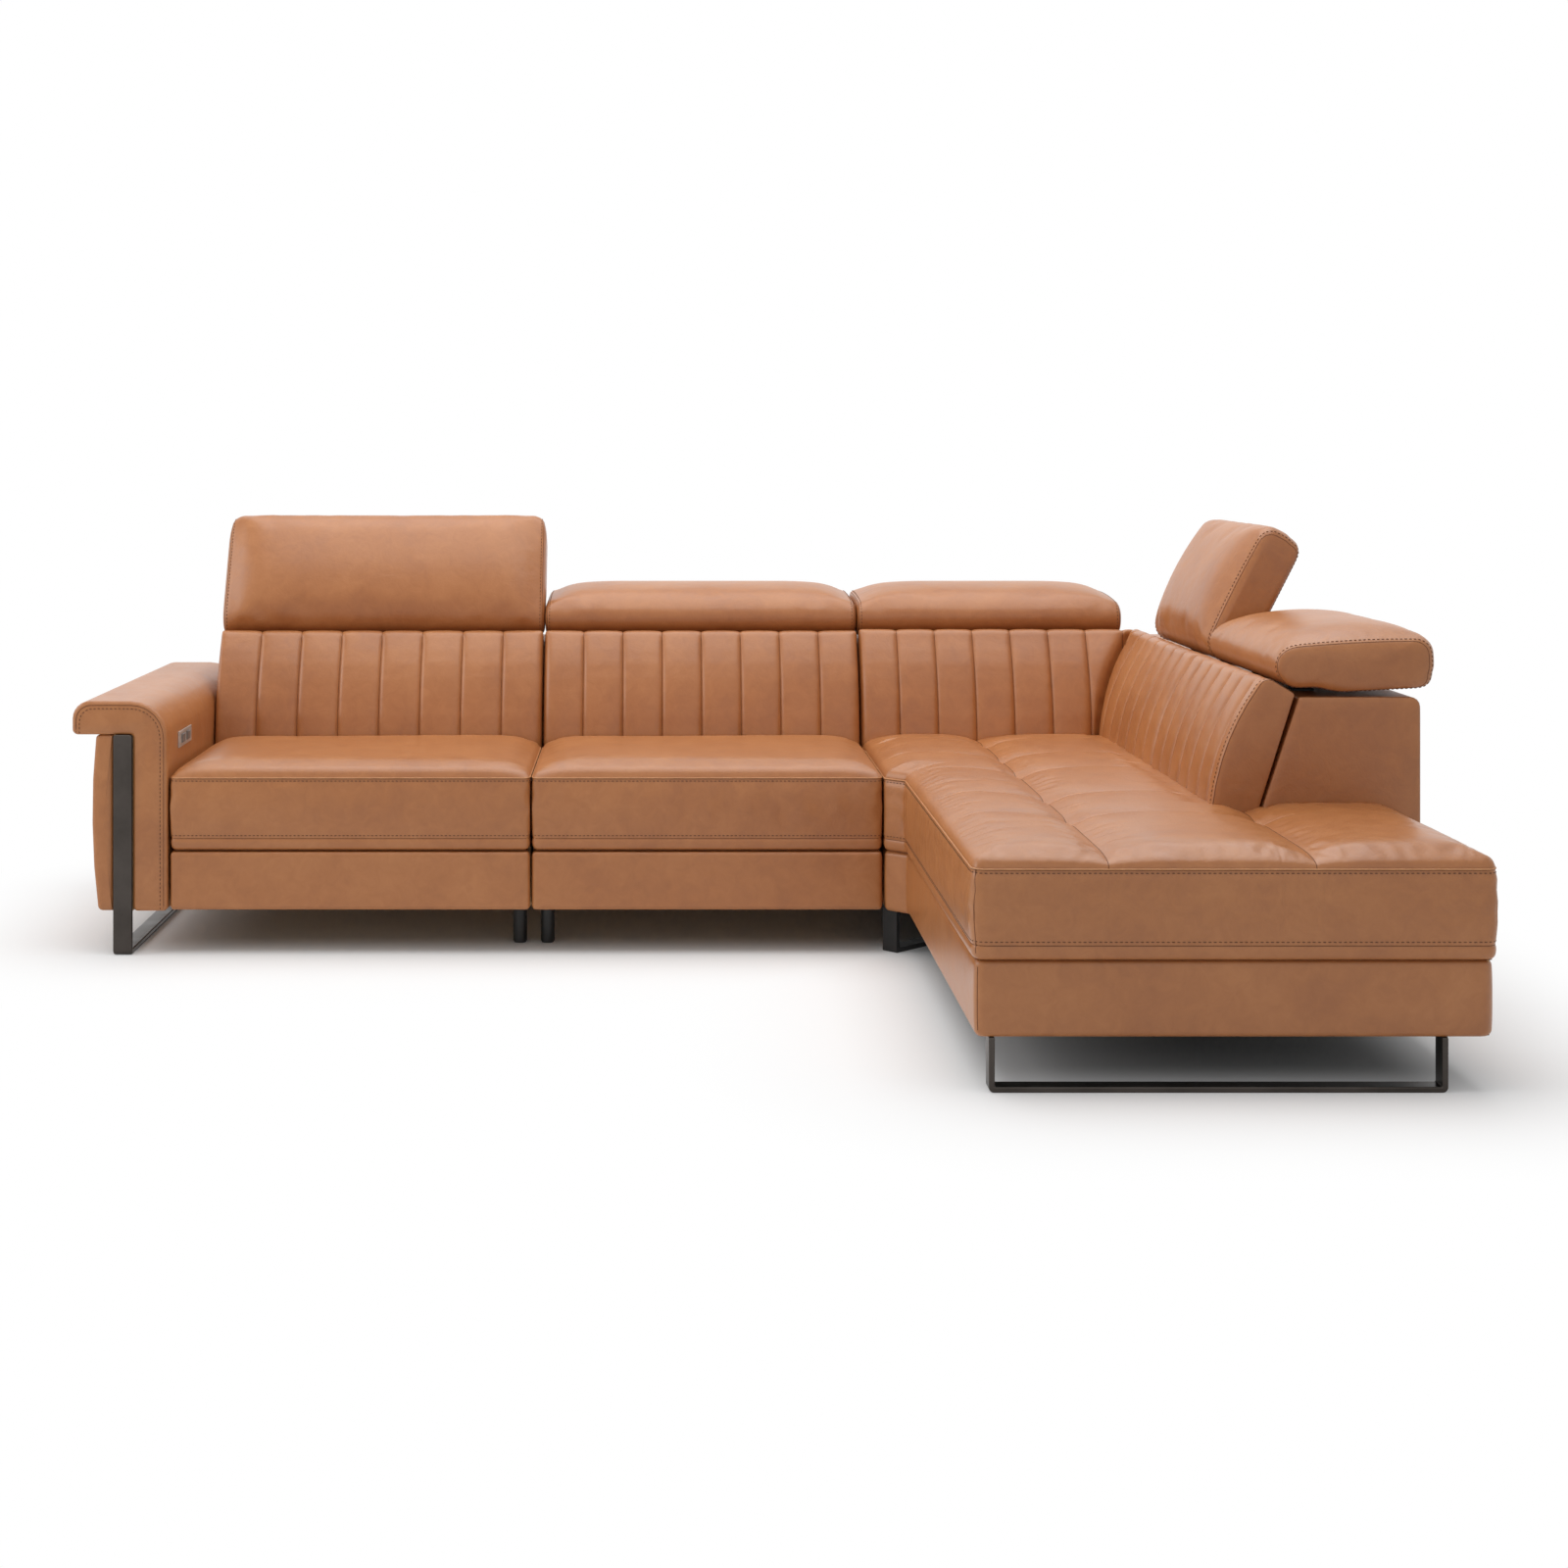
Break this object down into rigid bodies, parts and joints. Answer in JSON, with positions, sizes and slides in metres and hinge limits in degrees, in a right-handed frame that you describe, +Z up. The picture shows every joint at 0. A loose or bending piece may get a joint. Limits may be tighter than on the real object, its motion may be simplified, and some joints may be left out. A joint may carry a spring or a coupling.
{
  "type": "sectional sofa",
  "caption": "L-shaped leather corner sofa with a chaise, powered recliner seats with swing-out footrests, folding headrests, channelled back cushions and flat-bar metal legs.",
  "frame": {"origin": "on the floor under the middle of the sofa's outline", "axes": "+X to the sitter's left along the wall, seen from the front as right; +Y towards the wall; +Z up"},
  "size_m": [2.9661, 2.2341, 0.9971],
  "materials": {
    "caramel_leather": "semi-matte pigmented leather with a mottled caramel tone",
    "gunmetal_bar": "satin gunmetal coating",
    "black_steel": "satin black powder coat",
    "zinc_steel": "zinc-plated pressed steel",
    "brushed_plate": "brushed plate",
    "dark_button": "satin moulded key",
    "black_plastic": "moulded plastic",
    "black_cloth": "spun dust cloth",
    "plywood": "bare plywood and timber"
  },
  "bodies": {
    "frame": {"arm_core_board": "plywood", "arm_inner_pad": "caramel_leather", "arm_metal_frame": "gunmetal_bar", "arm_outer_panel": "caramel_leather", "back_hinge_brackets": "zinc_steel", "chaise_cushion": "caramel_leather", "chaise_sled_leg": "gunmetal_bar", "corner_back_cushion": "caramel_leather", "corner_back_shell": "caramel_leather", "corner_base_cover": "caramel_leather", "corner_base_frame": "plywood", "corner_dust_cover": "black_cloth", "corner_seat_deck": "plywood", "corner_sled_leg": "black_steel", "headrest_straps": "zinc_steel", "left_back_shell": "caramel_leather", "left_base_frame": "plywood", "leg_glides": "black_plastic", "middle_back_shell": "caramel_leather", "middle_base_frame": "plywood", "power_inlet": "black_plastic", "recline_motors": "black_plastic", "round_legs": "black_steel", "seat_slide_rails": "zinc_steel", "side_back_shell": "caramel_leather", "side_front_back_cushion": "caramel_leather", "side_rear_back_cushion": "caramel_leather", "switch_plate": "brushed_plate", "unit_connectors": "zinc_steel"},
    "left_seat": {"left_seat_cushion": "caramel_leather", "left_seat_pan": "plywood", "left_actuator_rod": "zinc_steel"},
    "left_rear_link": {"left_rear_links": "zinc_steel"},
    "left_front_link": {"left_front_links": "zinc_steel"},
    "left_footrest": {"left_footrest_board": "plywood", "left_footrest_pad": "caramel_leather"},
    "left_back": {"left_back_cushion": "caramel_leather", "left_back_panel": "plywood"},
    "middle_seat": {"middle_seat_cushion": "caramel_leather", "middle_seat_pan": "plywood", "middle_actuator_rod": "zinc_steel"},
    "middle_rear_link": {"middle_rear_links": "zinc_steel"},
    "middle_front_link": {"middle_front_links": "zinc_steel"},
    "middle_footrest": {"middle_footrest_board": "plywood", "middle_footrest_pad": "caramel_leather"},
    "middle_back": {"middle_back_cushion": "caramel_leather", "middle_back_panel": "plywood"},
    "left_headrest": {"left_headrest_pad": "caramel_leather", "left_headrest_arms": "zinc_steel"},
    "middle_headrest": {"middle_headrest_pad": "caramel_leather", "middle_headrest_arms": "zinc_steel"},
    "corner_headrest": {"corner_headrest_pad": "caramel_leather", "corner_headrest_arms": "zinc_steel"},
    "side_rear_headrest": {"side_rear_headrest_pad": "caramel_leather", "side_rear_headrest_arms": "zinc_steel"},
    "side_front_headrest": {"side_front_headrest_pad": "caramel_leather", "side_front_headrest_arms": "zinc_steel"},
    "open_button": {"open_button": "dark_button"},
    "close_button": {"close_button": "dark_button"}
  },
  "joints": [
    {"name": "left_seat_slide", "type": "slide", "parent": "frame", "child": "left_seat", "axis": [0, -1, 0], "range_m": [0, 0.1]},
    {"name": "left_rear_link_hinge", "type": "hinge", "parent": "left_seat", "child": "left_rear_link", "pos_m": [-0.83706, 0.14894, 0.205], "axis": [-1, 0, 0], "range_deg": [0, 100]},
    {"name": "left_front_link_hinge", "type": "hinge", "parent": "left_rear_link", "child": "left_front_link", "pos_m": [-0.83706, 0.14894, 0.113], "axis": [-1, 0, 0], "range_deg": [-175, 0]},
    {"name": "left_footrest_hinge", "type": "hinge", "parent": "left_front_link", "child": "left_footrest", "pos_m": [-0.83706, 0.14894, 0.205], "axis": [-1, 0, 0], "range_deg": [0, 160]},
    {"name": "left_back_hinge", "type": "hinge", "parent": "frame", "child": "left_back", "pos_m": [-0.83706, 0.82094, 0.676], "axis": [-1, 0, 0], "range_deg": [0, 14]},
    {"name": "middle_seat_slide", "type": "slide", "parent": "frame", "child": "middle_seat", "axis": [0, -1, 0], "range_m": [0, 0.1]},
    {"name": "middle_rear_link_hinge", "type": "hinge", "parent": "middle_seat", "child": "middle_rear_link", "pos_m": [-0.00606, 0.14894, 0.205], "axis": [-1, 0, 0], "range_deg": [0, 100]},
    {"name": "middle_front_link_hinge", "type": "hinge", "parent": "middle_rear_link", "child": "middle_front_link", "pos_m": [-0.00606, 0.14894, 0.113], "axis": [-1, 0, 0], "range_deg": [-175, 0]},
    {"name": "middle_footrest_hinge", "type": "hinge", "parent": "middle_front_link", "child": "middle_footrest", "pos_m": [-0.00606, 0.14894, 0.205], "axis": [-1, 0, 0], "range_deg": [0, 160]},
    {"name": "middle_back_hinge", "type": "hinge", "parent": "frame", "child": "middle_back", "pos_m": [-0.00606, 0.82094, 0.676], "axis": [-1, 0, 0], "range_deg": [0, 14]},
    {"name": "left_headrest_hinge", "type": "hinge", "parent": "frame", "child": "left_headrest", "pos_m": [-0.83706, 0.82894, 0.732], "axis": [1, 0, 0], "range_deg": [-60, 0]},
    {"name": "middle_headrest_hinge", "type": "hinge", "parent": "frame", "child": "middle_headrest", "pos_m": [-0.00606, 0.82894, 0.732], "axis": [1, 0, 0], "range_deg": [0, 60]},
    {"name": "corner_headrest_hinge", "type": "hinge", "parent": "frame", "child": "corner_headrest", "pos_m": [0.75394, 0.82894, 0.732], "axis": [1, 0, 0], "range_deg": [0, 60]},
    {"name": "side_rear_headrest_hinge", "type": "hinge", "parent": "frame", "child": "side_rear_headrest", "pos_m": [1.19494, 0.33094, 0.732], "axis": [0, -1, 0], "range_deg": [-60, 0]},
    {"name": "side_front_headrest_hinge", "type": "hinge", "parent": "frame", "child": "side_front_headrest", "pos_m": [1.19494, -0.27406, 0.732], "axis": [0, -1, 0], "range_deg": [0, 60]},
    {"name": "open_button_press", "type": "slide", "parent": "frame", "child": "open_button", "axis": [-1, 0, 0], "range_m": [0, 0.002], "stiffness_N_per_m": 400},
    {"name": "close_button_press", "type": "slide", "parent": "frame", "child": "close_button", "axis": [-1, 0, 0], "range_m": [0, 0.002], "stiffness_N_per_m": 400}
  ],
  "couplings": [
    {"joint": "left_rear_link_hinge", "follows": "left_seat_slide", "rad_per_m": 17.453},
    {"joint": "left_front_link_hinge", "follows": "left_seat_slide", "rad_per_m": -30.543},
    {"joint": "left_footrest_hinge", "follows": "left_seat_slide", "rad_per_m": 27.925},
    {"joint": "left_back_hinge", "follows": "left_seat_slide", "rad_per_m": 2.4435},
    {"joint": "middle_rear_link_hinge", "follows": "middle_seat_slide", "rad_per_m": 17.453},
    {"joint": "middle_front_link_hinge", "follows": "middle_seat_slide", "rad_per_m": -30.543},
    {"joint": "middle_footrest_hinge", "follows": "middle_seat_slide", "rad_per_m": 27.925},
    {"joint": "middle_back_hinge", "follows": "middle_seat_slide", "rad_per_m": 2.4435}
  ]
}
